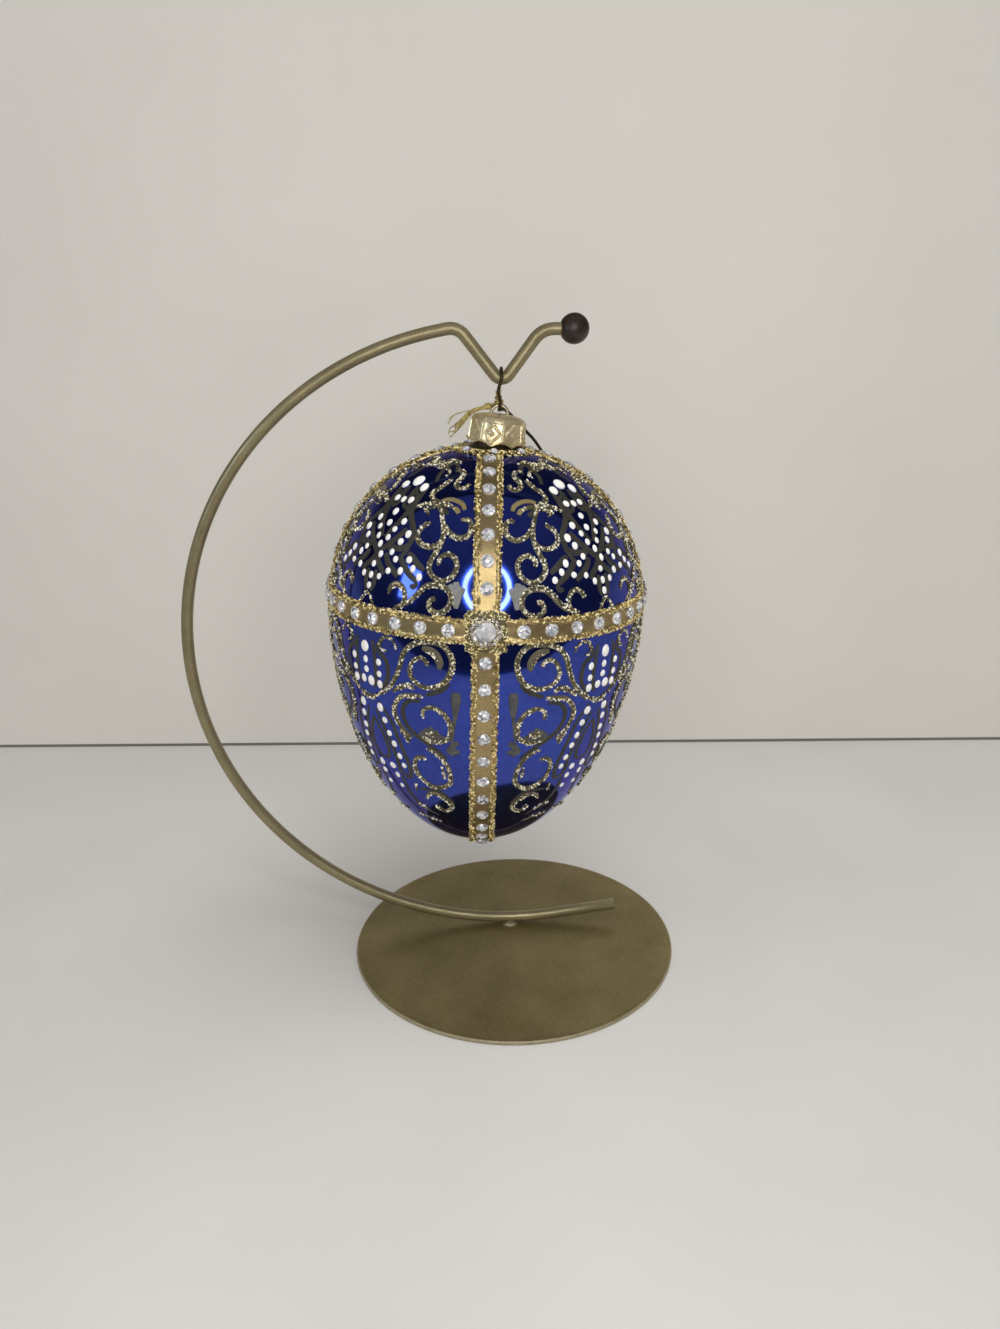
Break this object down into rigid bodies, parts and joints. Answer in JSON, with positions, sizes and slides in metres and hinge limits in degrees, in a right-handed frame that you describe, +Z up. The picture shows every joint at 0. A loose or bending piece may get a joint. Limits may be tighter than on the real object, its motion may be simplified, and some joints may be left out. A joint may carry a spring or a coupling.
{
  "type": "egg christmas ornament",
  "caption": "Blown blue glass egg ornament with gold trim and crystals, hanging by a wire hook from a bent-wire display stand with a round base.",
  "frame": {"origin": "centre of the round base's underside", "axes": "+Z up, +X towards the ball on the arm's tip, -Y towards the viewer in front"},
  "size_m": [0.1323, 0.0962, 0.1712],
  "materials": {
    "stand_paint": "satin antique gold paint",
    "ball_brown": "satin dark brown",
    "hook_bronze": "dark bronze",
    "cap_gold": "bright pressed metal",
    "spring_steel": "plain spring wire",
    "cord_gold": "metallic thread",
    "blue_glass": "mirrored, lacquered cobalt blue",
    "trim_gold": "matte gold with glitter rims and clear stones",
    "clear_crystal": "cut and foil-backed"
  },
  "bodies": {
    "stand": {"base_disc": "stand_paint", "stand_arm": "stand_paint", "weld_bead_front": "stand_paint", "weld_bead_rear": "stand_paint", "ball_finial": "ball_brown"},
    "hook": {"wire_hook": "hook_bronze"},
    "hanger": {"cap_crown": "cap_gold", "cap_spring_loop": "spring_steel", "cord_tie": "cord_gold"},
    "egg": {"glass_egg": "blue_glass", "neck_collar": "trim_gold", "strip_upper_front": "trim_gold", "strip_upper_right": "trim_gold", "strip_upper_back": "trim_gold", "strip_upper_left": "trim_gold", "strip_lower_front": "trim_gold", "strip_lower_right": "trim_gold", "strip_lower_back": "trim_gold", "strip_lower_left": "trim_gold", "strip_round_front": "trim_gold", "strip_round_right": "trim_gold", "strip_round_back": "trim_gold", "strip_round_left": "trim_gold", "rosette_front": "trim_gold", "rosette_right": "trim_gold", "rosette_back": "trim_gold", "rosette_left": "trim_gold", "rosette_bottom": "trim_gold", "large_stone_front": "clear_crystal", "large_stone_right": "clear_crystal", "large_stone_back": "clear_crystal", "large_stone_left": "clear_crystal", "large_stone_bottom": "clear_crystal", "scroll_upper_front_left": "trim_gold", "scroll_lower_front_left": "trim_gold", "scroll_upper_front_right": "trim_gold", "scroll_lower_front_right": "trim_gold", "scroll_upper_right_left": "trim_gold", "scroll_lower_right_left": "trim_gold", "scroll_upper_right_right": "trim_gold", "scroll_lower_right_right": "trim_gold", "scroll_upper_back_left": "trim_gold", "scroll_lower_back_left": "trim_gold", "scroll_upper_back_right": "trim_gold", "scroll_lower_back_right": "trim_gold", "scroll_upper_left_left": "trim_gold", "scroll_lower_left_left": "trim_gold", "scroll_upper_left_right": "trim_gold", "scroll_lower_left_right": "trim_gold"}
  },
  "joints": [
    {"name": "hook_swing", "type": "hinge", "parent": "stand", "child": "hook", "pos_m": [-0.00126, 0.008, 0.15607], "axis": [1, 0, 0], "range_deg": [-45, 45]},
    {"name": "ornament_sway", "type": "hinge", "parent": "hook", "child": "hanger", "pos_m": [-0.00196, 0.008, 0.14847], "axis": [0, 1, 0], "range_deg": [-4, 18]},
    {"name": "egg_turn", "type": "hinge", "parent": "hanger", "child": "egg", "pos_m": [-0.00621, 0.008, 0.09667], "axis": [0.0593, 0, 0.9982], "continuous": true}
  ]
}
